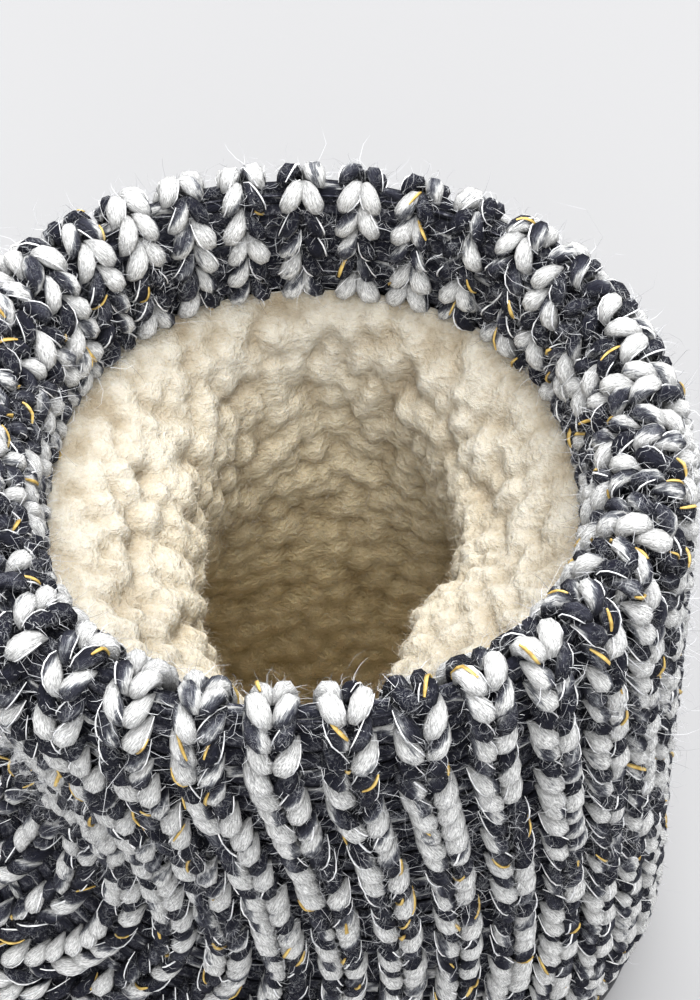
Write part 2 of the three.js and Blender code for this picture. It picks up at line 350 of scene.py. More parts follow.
def ring_angles(around):
    """Angles of a ring's points, from the back."""
    return np.arange(around) * 2 * np.pi / around - np.pi / 2


def yarn_lines(centre, front, radius):
    """Centre lines of yarn with their radius and their ways to the side and to the front."""
    way = unit(np.gradient(centre, axis=1))
    side = unit(np.cross(way, front))
    return {"centre": centre, "side": side, "front": np.cross(side, way), "radius": radius}


def tubes(lines, around):
    """Rings round many centre lines. Point = centre + radius (cos a side + sin a front)."""
    a = ring_angles(around)[:, None]
    spread = lines["side"][..., None, :] * np.cos(a) + lines["front"][..., None, :] * np.sin(a)
    return lines["centre"][..., None, :] + lines["radius"][..., None, None] * spread


# Materials


def new_material(name):
    """A new material with its node tree and its shader."""
    material = bpy.data.materials.new(name)
    material.use_nodes = True
    tree = material.node_tree
    return material, tree, tree.nodes["Principled BSDF"]


def add(tree, kind, inputs=None, **options):
    """A node with its options and input values set."""
    node = tree.nodes.new(kind)
    for key, value in options.items():
        setattr(node, key, value)
    for key, value in (inputs or {}).items():
        if isinstance(value, bpy.types.NodeSocket):
            tree.links.new(value, node.inputs[key])
        else:
            node.inputs[key].default_value = value
    return node


def attribute(tree, name, output="Fac"):
    """A named point attribute."""
    return add(tree, "ShaderNodeAttribute", attribute_name=name).outputs[output]


def place_of(tree):
    """Place on the object."""
    return add(tree, "ShaderNodeTexCoord").outputs["Object"]


def noise(tree, place, scale, detail, **more):
    """Noise at a place, from 0 to 1."""
    inputs = {"Vector": place, "Scale": scale, "Detail": detail, **more}
    return add(tree, "ShaderNodeTexNoise", inputs).outputs["Fac"]


def calc(tree, operation, *values):
    """The result of one sum."""
    return add(tree, "ShaderNodeMath", dict(enumerate(values)), operation=operation).outputs[0]


def mapped(tree, value, low, high, to_low=0.0, to_high=1.0):
    """A value carried from one range to another."""
    inputs = {"Value": value, "From Min": low, "From Max": high, "To Min": to_low, "To Max": to_high}
    return add(tree, "ShaderNodeMapRange", inputs).outputs[0]


def blend(tree, share, first, second):
    """A mix of two colours."""
    inputs = {"Factor": share, 6: first, 7: second}
    return add(tree, "ShaderNodeMix", inputs, data_type="RGBA").outputs[2]


def ramp(tree, factor, stops):
    """A colour ramp through (place, colour) stops."""
    node = add(tree, "ShaderNodeValToRGB", {"Fac": factor})
    line = node.color_ramp
    for element, (place, tone) in zip(line.elements, (stops[0], stops[-1])):
        element.position = place
        element.color = (*tone, 1)
    for place, tone in stops[1:-1]:
        line.elements.new(place).color = (*tone, 1)
    return node.outputs["Color"]


def raise_grain(tree, shader, height, strength, distance):
    """Bump from a height."""
    bump = add(tree, "ShaderNodeBump", {"Height": height, "Strength": strength, "Distance": distance})
    tree.links.new(bump.outputs["Normal"], shader.inputs["Normal"])


def finish(tree, shader, tone, constants):
    """The shader's colour and its constant values."""
    tree.links.new(tone, shader.inputs["Base Color"])
    for name, value in constants.items():
        shader.inputs[name].default_value = value


def fibre_web():
    """Group: patches of thin curling fibres, where either of two noises passes its middle value."""
    group = bpy.data.node_groups.get("fibre web")
    if group:
        return group
    group = bpy.data.node_groups.new("fibre web", "ShaderNodeTree")
    group.interface.new_socket("Fac", in_out="OUTPUT", socket_type="NodeSocketFloat")
    place = place_of(group)
    lines = []
    for scale in (520.0, 840.0):
        off = calc(group, "SUBTRACT", noise(group, place, scale, 2.0, Distortion=0.8), 0.5)
        lines.append(mapped(group, calc(group, "ABSOLUTE", off), 0.0, 0.02, 0.6, 0.0))
    either = calc(group, "MAXIMUM", *lines)
    patch = mapped(group, noise(group, place, 260.0, 2.0), 0.4, 0.68)
    patchy = calc(group, "MULTIPLY", either, patch)
    out = add(group, "NodeGroupOutput")
    group.links.new(patchy, out.inputs["Fac"])
    return group


def hazed(tree, tone, haze):
    """A colour with the fibre web over it."""
    web = add(tree, "ShaderNodeGroup", node_tree=fibre_web())
    return blend(tree, web.outputs[0], tone, (*haze, 1))


def marl_yarn(knit):
    """Navy and white plies twisted together: the ply attribute, broken up by streaks along the fibre and
    dimmed by the painted shade that the legs and bars carry.
    """
    material, tree, shader = new_material("marl yarn")
    fibre = attribute(tree, "fibre", "Vector")
    streak = noise(tree, fibre, 3.0, 5.0, Roughness=0.75)
    mixed = calc(tree, "ADD", attribute(tree, "ply"), calc(tree, "SUBTRACT", streak, 0.5))
    dusk = (0.052, 0.054, 0.074)
    grey = (0.25, 0.26, 0.28)
    stops = [(0.25, knit.navy), (0.44, dusk), (0.50, grey), (0.55, knit.white)]
    plies = ramp(tree, mapped(tree, mixed, -1.6, 1.6), stops)
    fine = noise(tree, fibre, 7.0, 3.0, Roughness=0.6)
    # Streak tone along the fibre, times the painted shade of the leg or bar.
    light = calc(tree, "MULTIPLY", mapped(tree, fine, 0.36, 0.6, 0.45, 1.06), attribute(tree, "painted_shade"))
    toned = add(tree, "ShaderNodeVectorMath", {0: plies, 1: light}, operation="MULTIPLY").outputs[0]
    raise_grain(tree, shader, calc(tree, "ADD", streak, fine), 1.0, 0.0007)
    tone = hazed(tree, toned, (0.4, 0.41, 0.43))
    finish(tree, shader, tone, {"Roughness": 0.9, "Specular IOR Level": 0.12})
    return material


def knit_ground():
    """The knit behind the ribs: navy yarn with pale fibres, darkened below the yarn's own navy as painted
    shade in the valleys.
    """
    material, tree, shader = new_material("knit ground")
    speck = noise(tree, place_of(tree), 900.0, 4.0, Roughness=0.7)
    # Painted shade: the dark stops lie below the navy of the yarn itself.
    stops = [(0.35, (0.010, 0.0105, 0.017)), (0.56, (0.03, 0.031, 0.042)), (0.78, (0.3, 0.3, 0.32))]
    tone = hazed(tree, ramp(tree, speck, stops), (0.3, 0.3, 0.32))
    finish(tree, shader, tone, {"Roughness": 0.95, "Specular IOR Level": 0.1})
    return material


def loose_fibre(name, pale, dark, alpha):
    """Fine loose fibre: colour by a random value, partly see-through."""
    material, tree, shader = new_material(name)
    tone = ramp(tree, attribute(tree, "tone"), [(0.0, dark), (1.0, pale)])
    finish(tree, shader, tone, {"Alpha": alpha, "Roughness": 0.7})
    return material


def two_tone(name, scale, detail, stops, roughness):
    """A plain surface of two tones by place."""
    material, tree, shader = new_material(name)
    tone = ramp(tree, noise(tree, place_of(tree), scale, detail), stops)
    finish(tree, shader, tone, {"Roughness": roughness})
    return material


def thread(name, low, high):
    """A thin thread."""
    return two_tone(name, 700.0, 2.0, [(0.35, low), (0.65, high)], 0.6)


def pale_floor():
    """Plain pale paper."""
    stops = [(0.3, (0.215, 0.215, 0.218)), (0.7, (0.228, 0.228, 0.231))]
    return two_tone("pale floor", 2.0, 1.0, stops, 0.9)


def sherpa_pile(lining):
    """Cream pile: paler on the clumps' tops and browner between them as painted shade, and warmer and
    brighter down the throat as painted bounced light.
    """
    material = bpy.data.materials.get("sherpa pile")
    if material:
        return material
    material, tree, shader = new_material("sherpa pile")
    curl = noise(tree, place_of(tree), 900.0, 4.0, Roughness=0.65)
    soft = calc(tree, "MULTIPLY", calc(tree, "SUBTRACT", curl, 0.5), 1.1)
    mixed = calc(tree, "ADD", attribute(tree, "clump"), soft)
    # Painted shade: the dark brown stops colour the creases between the clumps.
    near_stops = [(0.0, (0.273, 0.226, 0.158)), (0.4, (0.338, 0.297, 0.226)), (0.9, lining.cream)]
    # Painted bounced light: the throat's ramp is warmer and brighter than the collar's.
    far_stops = [(0.0, (0.348, 0.265, 0.138)), (0.4, (0.536, 0.423, 0.237)), (0.9, (0.714, 0.578, 0.337))]
    near = ramp(tree, mixed, near_stops)
    far = ramp(tree, mixed, far_stops)
    raise_grain(tree, shader, curl, 0.9, 0.0014)
    constants = {"Roughness": 0.95, "Specular IOR Level": 0.1, "Subsurface Weight": 0.3}
    constants |= {"Subsurface Radius": (1.0, 0.75, 0.45), "Subsurface Scale": 0.0025}
    finish(tree, shader, blend(tree, attribute(tree, "depth"), near, far), constants)
    return material


def moulded_rubber():
    """Near-black rubber with a fine mould grain."""
    material, tree, shader = new_material("moulded rubber")
    place = place_of(tree)
    raise_grain(tree, shader, noise(tree, place, 1400.0, 3.0), 0.25, 0.0003)
    stops = [(0.3, (0.012, 0.012, 0.015)), (0.7, (0.022, 0.022, 0.026))]
    finish(tree, shader, ramp(tree, noise(tree, place, 40.0, 2.0), stops), {"Roughness": 0.62})
    return material


# Ribs and valleys

# The first rib stands a little off the front. Ribs are a little wider apart on the two sides.
RIB_TURN = 0.004
RIB_SPREAD = 0.06


def rib_share(index, ribs):
    """Place of a rib round the loop, as a share of its length."""
    f = np.asarray(index, float) / ribs - RIB_TURN
    return f - RIB_SPREAD * np.sin(4 * np.pi * f) / (4 * np.pi)


class RibLine:
    """One rib, or one valley at a half place, from the toe over the collar to the fold's edge."""

    def __init__(self, skin, ribs, place):
        self.skin = skin
        self.points, self.normals = skin.column(rib_share(place, ribs))
        right, _ = skin.column(rib_share(place + 0.5, ribs))
        left, _ = skin.column(rib_share(place - 0.5, ribs))
        self.pitch = np.linalg.norm(right - left, axis=1)
        self.run = run_of(self.points)
        self.levels = np.arange(len(self.points), dtype=float)

    def courses(self, course, first, spread, rng):
        """Lengths along the line of the courses, counted from the fold, each a little off."""
        count = int(self.run[-1] / course)
        even = self.run[-1] - course * (np.arange(count) + first)
        return even + rng.normal(0, spread, count)

    def at(self, lengths, values):
        """Values at lengths along the line."""
        return np.interp(lengths, self.run, values)

    def above_sole(self, lengths, clearance):
        """Whether the line is clear of the sole at lengths along it, and past its start."""
        height = self.at(lengths, self.points[:, 2])
        sole = sole_top(self.at(lengths, self.points[:, 0]), self.skin)
        return (height > sole + clearance) & (lengths > 1)

    def between(self, lengths):
        """Points, outward normals and ways along the line at lengths along it."""
        level = self.at(lengths, self.levels)
        low = np.minimum(level.astype(int), len(self.levels) - 2)
        f = (level - low)[..., None]
        point = self.points[low] * (1 - f) + self.points[low + 1] * f
        front = unit(self.normals[low] * (1 - f) + self.normals[low + 1] * f)
        return point, front, unit(self.points[low + 1] - self.points[low])


def uneven(start, spread, rng):
    """A small random difference for each of the yarns that start at some lengths."""
    return rng.normal(0, spread, (len(start), 1))


def joined(parts):
    """Arrays of many parts, put end to end by name."""
    return {key: np.concatenate([part[key] for part in parts]) for key in parts[0]}


# Stitches

LEG_STEPS = 7
LEG_SIDES = 7
LEG_MIDDLE = LEG_STEPS // 2
# A leg's root and splay across the rib, and its bow out of the knit and sink into it, mm.
LEG_ROOT = 0.25
LEG_SPLAY = 3.1
LEG_BOW = 2.4
LEG_SINK = 2.1
# Its reach up the rib and its tuck under the stitch below, in courses, and the first course's place.
LEG_REACH = 1.42
LEG_TUCK = 0.22
LEG_FIRST = 1.7
LEG_CLEARANCE = 1.6
LEG_UNEVEN = {"start": 0.16, "along": 0.12, "size": 0.05, "across": 0.12, "out": 0.15, "radius": 0.03}
# Rib width that these are for and height where the collar starts, mm, and limits of a stitch's size.
RIB_WIDTH = 10.0
SIZE_LEAST = 0.75
SIZE_LEAST_COLLAR = 1.04
SIZE_MOST = 1.25
COLLAR_FROM = 156
# Ribs narrower than these run together by twos and by fours.
PITCH_SINGLE = 5.6
PITCH_DOUBLE = 2.9
# Share of white, strength of the leading colour, and strength, relief and turns of the plies.
WHITE_SHARE = 0.46
WHITE_BIAS = 0.7
NAVY_BIAS = -0.85
BIAS_UNEVEN = 0.38
PLY_STRENGTH = 0.8
PLY_SWELL = 0.07
PLY_TURNS = 0.6
# Fibre coordinates: slow along the yarn, from anywhere in a range.
FIBRE_STRETCH = 0.22
FIBRE_RANGE = 60
# Pieces of the rib yarn: name, from and up to a height, mm.
YARN_PIECES = (("rib_yarn_collar", 118, np.inf), ("rib_yarn_shaft", 62, 118), ("rib_yarn_foot", -np.inf, 62))


def rib_legs(skin, knit, rng):
    """Centre lines and frames of all the stitch legs.

    A stitch is a V whose point looks to the sole. Each leg leaves the point behind the stitch below, swells
    forward over it, leans outward and dives behind the stitch above. With t from 0 to 1 along the leg:
    across = root + splay t, along = (reach t - tuck) course,
    out = bow sin^0.8(pi (0.06 + 0.86 t)) - t^2 - sink, radius = yarn sin^0.85(pi (0.03 + 0.94 t)).
    """
    t = np.linspace(0, 1, LEG_STEPS)
    across_line = LEG_ROOT + LEG_SPLAY * t
    along_line = (LEG_REACH * t - LEG_TUCK) * knit.course
    out_line = LEG_BOW * np.sin(np.pi * (0.06 + 0.86 * t)) ** 0.8 - t**2 - LEG_SINK
    thick_line = knit.yarn * np.sin(np.pi * (0.03 + 0.94 * t)) ** 0.85
    parts = []
    stitches = 0
    for rib in range(knit.ribs):
        line = RibLine(skin, knit.ribs, rib)
        start = line.courses(knit.course, LEG_FIRST, LEG_UNEVEN["start"], rng)
        pitch = line.at(start, line.pitch)
        ribs_in_one = np.where(pitch > PITCH_SINGLE, 1, np.where(pitch > PITCH_DOUBLE, 2, 4))
        kept = (rib % ribs_in_one == 0) & line.above_sole(start, LEG_CLEARANCE)
        start = start[kept]
        least = np.where(line.at(start, line.points[:, 2]) > COLLAR_FROM, SIZE_LEAST_COLLAR, SIZE_LEAST)
        width = np.clip((pitch * ribs_in_one)[kept] / RIB_WIDTH, least, SIZE_MOST)[:, None]
        stitch = stitches + np.arange(len(start))[::-1]
        stitches += len(start)
        for hand in (-1, 1):
            along = start[:, None] + along_line + uneven(start, LEG_UNEVEN["along"], rng)
            point, front, _ = line.between(along)
            side = unit(np.cross(unit(np.gradient(point, axis=1)), front))
            size = width * (1 + uneven(start, LEG_UNEVEN["size"], rng))
            reach = hand * across_line * size + uneven(start, LEG_UNEVEN["across"], rng)
            out = out_line + uneven(start, LEG_UNEVEN["out"], rng)
            centre = point + side * reach[..., None] + front * out[..., None]
            leg = yarn_lines(centre, front, thick_line * np.clip(size, 0.8, 1.1))
            parts.append({**leg, "stitch": stitch})
    return joined(parts)


def leg_plies(legs, rng):
    """Turn of the plies along each leg, and the colour that leads in it: below zero navy, above zero white.
    Half of the legs have their stitch's colour, half their own."""
    count = len(legs["centre"])
    stitch_white = rng.uniform(0, 1, legs["stitch"].max() + 1) < WHITE_SHARE
    own_white = rng.uniform(0, 1, count) < WHITE_SHARE
    white = np.where(rng.uniform(0, 1, count) < 0.5, stitch_white[legs["stitch"]], own_white)
    bias = np.where(white, WHITE_BIAS, NAVY_BIAS) + rng.normal(0, BIAS_UNEVEN, count)
    base = rng.uniform(0, 2 * np.pi, count)
    along = np.linspace(0, 1, LEG_STEPS) * 2 * np.pi * PLY_TURNS
    return base[:, None] + along[None, :], bias


def fibre_places(count, steps, around, round_by, long_by, rng):
    """Coordinates that run along each yarn and round it, each yarn in a place of its own."""
    a = ring_angles(around)
    along = np.linspace(0, long_by, steps)[:, None] * FIBRE_STRETCH
    place = np.stack(np.broadcast_arrays(np.cos(a) * round_by, np.sin(a) * round_by, along), axis=-1)
    return place + rng.uniform(0, FIBRE_RANGE, (count, 1, 1, 3))


def knit_ribs(skin, knit, yarn, rng):
    """All the stitch legs as yarn, in pieces by height, and the frames they were made on.
    A leg carries painted shade: darker at its ends and at its back, where it lies in the knit."""
    legs = rib_legs(skin, knit, rng)
    turn, bias = leg_plies(legs, rng)
    a = ring_angles(LEG_SIDES)
    ply = PLY_STRENGTH * np.sin(turn[:, :, None] + a) + bias[:, None, None]
    rough = rng.normal(0, LEG_UNEVEN["radius"], legs["radius"].shape)
    radius = legs["radius"] * (1 + PLY_SWELL * np.clip(bias, -1, 1)[:, None] + rough)
    legs["drawn"] = radius
    legs["bias"] = bias
    rings = tubes({**legs, "radius": radius}, LEG_SIDES)
    centre = legs["centre"][:, :, None, :]
    points = centre + (rings - centre) * (1 + PLY_SWELL * np.clip(ply, -1, 1))[..., None]
    fibre = fibre_places(len(points), LEG_STEPS, LEG_SIDES, 1.5, 8.5, rng)
    full = np.clip(legs["radius"] / legs["radius"].max(axis=1, keepdims=True), 0, 1)
    # Painted shade: darker toward the leg's thin ends and round its back, where it dives into the knit.
    light = (0.3 + 0.7 * full)[..., None] * (0.72 + 0.28 * np.sin(a))
    height = legs["centre"][:, LEG_MIDDLE, 2]
    pieces = []
    for name, low, high in YARN_PIECES:
        chosen = (height >= low) & (height < high)
        faces = tube_faces(chosen.sum(), LEG_STEPS, LEG_SIDES)
        values = {"ply": ply[chosen].ravel(), "painted_shade": light[chosen].ravel()}
        values["fibre"] = fibre[chosen].reshape(-1, 3)
        pieces.append(new_mesh(name, points[chosen], faces, yarn, values))
    return pieces, legs


# Valleys

BAR_STEPS = 4
BAR_SIDES = 4
BAR_FIRST = 0.9
BAR_CLEARANCE = 1.2
BAR_LEAST_PITCH = 3.5
BAR_HALF = 0.36
BAR_SINK = 3.4
BAR_DIVE = 0.8
BAR_LIFT = 0.7
BAR_RADIUS = 1.1
# Painted shade on the valley bars: their yarn colour times this.
BAR_PAINTED_SHADE = 0.7
BAR_UNEVEN = {"start": 0.25, "out": 0.25, "radius": 0.08, "ply": 0.3}
GROUND_DEPTH = 4.4
GROUND_TUCK = 0.2


def knit_bars(skin, knit, yarn, rng):
    """The ladder in the valleys: a short bow of yarn across each valley at each course. With t from -1 to 1
    across it, it lies sink + dive t^2 in and lift t^2 up."""
    t = np.linspace(-1, 1, BAR_STEPS)
    parts = []
    for rib in range(knit.ribs):
        line = RibLine(skin, knit.ribs, rib + 0.5)
        start = line.courses(knit.course, BAR_FIRST, BAR_UNEVEN["start"], rng)
        pitch = line.at(start, line.pitch)
        kept = line.above_sole(start, BAR_CLEARANCE) & (pitch > BAR_LEAST_PITCH)
        start = start[kept]
        point, front, up = (v[:, None] for v in line.between(start))
        side = unit(np.cross(up, front))
        reach = t * (pitch[kept][:, None] * BAR_HALF)
        out = -BAR_SINK - BAR_DIVE * t**2 + uneven(start, BAR_UNEVEN["out"], rng)
        centre = point + side * reach[..., None] + front * out[..., None] + up * (BAR_LIFT * t**2)[:, None]
        radius = BAR_RADIUS * (1 + uneven(start, BAR_UNEVEN["radius"], rng)) * np.ones(BAR_STEPS)
        parts.append(yarn_lines(centre, front, radius))
    points = tubes(joined(parts), BAR_SIDES)
    count = len(points)
    turn = rng.uniform(0, 2 * np.pi, count)[:, None] + np.linspace(0, 3.0, BAR_STEPS)
    ply = 0.9 * np.sin(turn[:, :, None] + ring_angles(BAR_SIDES)) - 0.8
    ply = ply + rng.normal(0, BAR_UNEVEN["ply"], (count, 1, 1))
    fibre = fibre_places(count, BAR_STEPS, BAR_SIDES, 1.0, 5.0, rng)
    # The bars' colour is dimmed by a constant painted shade, for their place deep in the valleys.
    values = {"ply": ply.ravel(), "fibre": fibre.reshape(-1, 3), "painted_shade": np.full(ply.size, BAR_PAINTED_SHADE)}
    return new_mesh("valley_bars", points, tube_faces(count, BAR_STEPS, BAR_SIDES), yarn, values)


def knit_backing(skin):
    """The knit's ground behind the stitches: the outer face drawn in, down to the sole."""
    outer = np.arange(0, skin.OUTER_LEVELS, 4)
    inner = np.arange(skin.OUTER_LEVELS + 2, len(skin.points), 2)
    part = np.ix_(np.concatenate([outer, inner]), np.arange(0, skin.COLUMNS, 4))
    points = skin.points[part] - GROUND_DEPTH * skin.normals[part]
    return new_mesh("knit_ground", points, faces_above_sole(points, skin, -GROUND_TUCK), knit_ground())


# Threads and loose fibre

THREAD_STEPS = 6
THREAD_SIDES = 3
# Threads along stitch legs. Columns: piece, count, radius, mm, least and most share of a leg, lean, radians.
THREADS = (("white_threads", 2200, 0.175, (0.6, 0.95), 1.05), ("gold_flecks", 480, 0.36, (0.3, 0.5), 0.6))
# Loose fibres of the yarn. Columns: piece, whether on the collar and shaft, share of the count, how far they
# stray from straight out, bend, joints, and spread of the length, mm.
FUZZ = (
    ("collar_fuzz", True, 0.45, 0.85, 1.6, 2, 0.55),
    ("collar_halo", True, 0.34, 0.4, 2.0, 3, 1.3),
    ("body_fuzz", False, 0.15, 0.85, 1.6, 2, 0.55),
    ("body_halo", False, 0.11, 0.45, 2.3, 3, 1.05),
)
FUZZ_FROM = 98
FUZZ_WIDTH = 0.046
FUZZ_SHORTEST = 0.8


def wrap_threads(legs, name, count, radius, spread, lean, material, rng):
    """Thin threads along the edges of stitch legs, most of them on navy ones.
    Point = leg's centre + loft (cos a side + sin a front), with a lean of a from the leg's front."""
    weight = np.where(legs["bias"] < 0, 1.0, 0.3)
    pick = rng.choice(len(weight), count, replace=False, p=weight / weight.sum())
    first = rng.uniform(0.0, 1.0 - spread[0], count)
    last = np.minimum(first + rng.uniform(*spread, count), 1.0)
    t = np.linspace(0, 1, THREAD_STEPS)
    at = (first[:, None] + (last - first)[:, None] * t) * (LEG_STEPS - 1)
    low = np.minimum(at.astype(int), LEG_STEPS - 2)
    f = (at - low)[..., None]
    row = pick[:, None]

    def along(values):
        return values[row, low] * (1 - f) + values[row, low + 1] * f

    side = unit(along(legs["side"]))
    front = unit(along(legs["front"]))
    edge = np.pi / 2 + rng.choice([-1, 1], count) * rng.normal(lean, 0.22, count)
    turn = edge[:, None] + rng.normal(0, 0.5, count)[:, None] * (t - 0.5)
    loose = 0.15 * rng.uniform(0, 1, count)[:, None] * np.sin(np.pi * t)
    loft = along(legs["drawn"][..., None])[..., 0] + radius * 0.2 + loose
    outward = side * np.cos(turn)[..., None] + front * np.sin(turn)[..., None]
    line = along(legs["centre"]) + outward * loft[..., None]
    swell = 0.35 + 0.65 * np.sin(np.pi * (0.06 + 0.88 * t)) ** 0.6
    taper = radius * swell * rng.uniform(0.7, 1.2, (count, 1))
    points = tubes(yarn_lines(line, outward, taper), THREAD_SIDES)
    return new_mesh(name, points, tube_faces(count, THREAD_STEPS, THREAD_SIDES), material)


def strands(name, roots, normals, lengths, width, material, rng, stray, bend, joints=2):
    """Loose fibres: thin ribbons along arcs of a circle, from root to a pointed tip.
    Point = root + length (way sin(bt) + curl (1 - cos(bt))) / b, with the turn b of the whole fibre."""
    count = len(roots)
    way = unit(normals * (1 - stray) + unit(rng.normal(size=(count, 3))) * stray)
    curl = unit(np.cross(way, unit(rng.normal(size=(count, 3)))))
    turn = bend * rng.uniform(0.4, 1.6, count)[:, None]
    t = np.linspace(0, 1, joints + 1)[None, :]
    forward = (np.sin(turn * t) / turn)[..., None] * way[:, None]
    sideways = ((1 - np.cos(turn * t)) / turn)[..., None] * curl[:, None]
    line = roots[:, None] + lengths[:, None, None] * (forward + sideways)
    across = unit(np.cross(way, curl))[:, None] * 0.4 + unit(rng.normal(size=(count, 3)))[:, None] * 0.6
    half = width * unit(across) * (1 - 0.5 * t[..., :-1, None])
    pairs = np.stack([line[:, :-1] - half, line[:, :-1] + half], axis=2).reshape(count, -1, 3)
    points = np.concatenate([pairs, line[:, -1:]], axis=1)
    strip = [[k, k + 1, k + 2] if k % 2 == 0 else [k, k + 2, k + 1] for k in range(2 * joints - 1)]
    size = points.shape[1]
    faces = (np.array(strip)[None] + np.arange(count)[:, None, None] * size).reshape(-1, 3)
    tone = np.repeat(rng.uniform(0, 1, count), size)
    return new_mesh(name, points, faces, material, {"tone": tone})


def knit_fuzz(legs, knit, rng):
    """Loose fibres of the yarn, from the outer half of the stitch legs and most of them round the collar.
    Some lie any way on the yarn. The rest stand off it, curled, as a halo."""
    on_collar = legs["centre"][:, LEG_MIDDLE, 2] > FUZZ_FROM
    material = loose_fibre("yarn fuzz", (0.74, 0.75, 0.77), (0.10, 0.105, 0.12), 0.62)
    pieces = []
    for name, collar, share, stray, bend, joints, spread in FUZZ:
        count = int(knit.fuzz * share)
        weight = (on_collar == collar) * np.where(legs["bias"] < 0, 1.0, 0.7)
        pick = rng.choice(len(weight), count, p=weight / weight.sum())
        step = rng.integers(1, LEG_STEPS - 1, count)
        turn = rng.uniform(-0.4, np.pi + 0.4, count)[:, None]
        out = legs["side"][pick, step] * np.cos(turn) + legs["front"][pick, step] * np.sin(turn)
        roots = legs["centre"][pick, step] + out * (legs["drawn"][pick, step] * 0.95)[:, None]
        lengths = FUZZ_SHORTEST + rng.gamma(2.0, spread, count)
        pieces.append(strands(name, roots, out, lengths, FUZZ_WIDTH, material, rng, stray, bend, joints))
    return pieces


class BOOTIE_OT_knit(bpy.types.Operator):
    """Knit the upper: stitch legs, valley bars, ground, threads, flecks and loose fibres"""

    bl_idname = "bootie.knit"
    bl_label = "Knit upper"

    def execute(self, context):
        knit = in_mm(context.scene.bootie_knit)
        rng = np.random.default_rng(knit.seed)
        skin = KnitSkin(knit)
        yarn = marl_yarn(knit)
        pieces, legs = knit_ribs(skin, knit, yarn, rng)
        pieces += [knit_bars(skin, knit, yarn, rng), knit_backing(skin)]
        white = thread("white thread", (0.5, 0.51, 0.53), (0.86, 0.86, 0.86))
        gold = thread("gold thread", (0.30, 0.19, 0.04), knit.gold)
        pieces += [wrap_threads(legs, *row, tone, rng) for row, tone in zip(THREADS, (white, gold))]
        pieces += knit_fuzz(legs, knit, rng)
        for piece in pieces:
            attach(piece, "root")
            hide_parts("upper")
        return {"FINISHED"}


# Sherpa

# The lip starts this far under the collar's section and this far behind the fold's face, mm.
LIP_DROP = 8.6
LIP_TUCK = 2.0
LIP_BEND = 1.6
LIP_STEPS = 14
LIP_END = 0.78
PILE_COLUMNS = 280
# Rows of the pile's grid by section row: from, to and count. The part that shows is the finest.
PILE_ROWS = ((LIP_END, 3.4, 142), (3.44, 6.6, 68), (6.8, TOE_ROW, 24))
PILE_SPREAD = 1.3
PILE_CLEARANCE = 0.2
# Two other sizes of clump, by the main one's width, and their heights, mm.
CURL_WIDTH = 0.45
CURL_HEIGHT = 0.5
SWELL_WIDTH = 2.3
SWELL_HEIGHT = 1.0
CLUMP_LEAST = -0.6
CLUMP_SHARPNESS = 9
CLUMP_SCATTER = 0.8
FIBRES_TO_ROW = 6.0
FIBRE_WIDTH = 0.03
FIBRE_SHORTEST = 0.6


def pile_lip(knit, angles, first):
    """The pile's rounded top edge, from behind the fold's face to the first row of pile. It starts level and
    bends down to the wall's slope: inward by u, down by u^1.6."""
    start = loops(np.zeros(1), angles, roll_depth(knit, angles) - LIP_TUCK) - np.array([0, 0, LIP_DROP])
    u = np.linspace(0, 1, LIP_STEPS + 1)[:-1, None]
    return start + (first - start) * np.stack([u, u, u**LIP_BEND], axis=-1)


def pile_depth(rows, angles):
    """Depth of the sherpa at rows and angles, from the table's ends and sides mixed by |cos a|^1.3, with the
    lobe's sin a cos a at the outer side of the back."""
    place = np.interp(rows, PILE[:, 0], np.arange(len(PILE)))
    front, outer, inner, back, lobe = (column[:, None] for column in smooth(PILE, place).T[1:])
    end = np.where(np.cos(angles) > 0, front, back)
    side = np.where(np.sin(angles) > 0, outer, inner)
    bulge = lobe * np.maximum(np.sin(angles), 0) * np.maximum(-np.cos(angles), 0) * 2
    return side + (end - side) * np.abs(np.cos(angles)) ** PILE_SPREAD + bulge


def hashed(cells, seed):
    """Even pseudo-random values in 0..1 for whole-number places: the fraction of a large sine."""
    v = np.sin(cells @ np.array([127.1, 311.7, 74.7]) + seed * 19.19) * 43758.5453
    return v - np.floor(v)


def clumps(points, cell, seed):
    """Round clumps round points scattered in space, one a cell: 1 at a clump's middle, 0 or less between
    clumps. A soft minimum of the squared distances rounds the creases."""
    place = points / cell
    base = np.floor(place)
    total = np.zeros(points.shape[:-1])
    for step in np.ndindex(3, 3, 3):
        cells = base + (np.array(step) - 1)
        scatter = np.stack([hashed(cells, seed + k) for k in range(3)], axis=-1)
        middle = cells + 0.5 + CLUMP_SCATTER * (scatter - 0.5)
        total += np.exp(-CLUMP_SHARPNESS * ((place - middle) ** 2).sum(axis=-1))
    return 1 + 2 * np.log(total + 1e-6) / CLUMP_SHARPNESS


def pile_relief(points, rows, lining):
    """Heights of the pile, mm, and its tones from 0 to 1, low as painted shade between the clumps: clumps of
    three sizes, which grow over the lip and get flatter down the throat."""
    place = points * np.array([1, 1, lining.stretch])
    large = clumps(place, lining.clump, lining.seed)
    small = clumps(place, lining.clump * CURL_WIDTH, lining.seed + 9)
    swell = clumps(place, lining.clump * SWELL_WIDTH, lining.seed + 21)
    height = np.zeros(large.shape)
    for values, most in ((large, lining.height), (small, CURL_HEIGHT), (swell, SWELL_HEIGHT)):
        height = height + most * np.clip(values, CLUMP_LEAST, 1)
    grown = np.clip(np.arange(len(rows)) / LIP_STEPS, 0, 1)
    flatter = 1 - 0.45 * np.clip((rows - 2.0) / 1.8, 0, 1)
    # Painted shade: the tone is low in the creases between clumps and high on their tops.
    tone = np.clip(0.16 + 0.6 * large + 0.2 * small + 0.1 * swell, 0, 1)
    return height * (grown * flatter)[:, None], tone


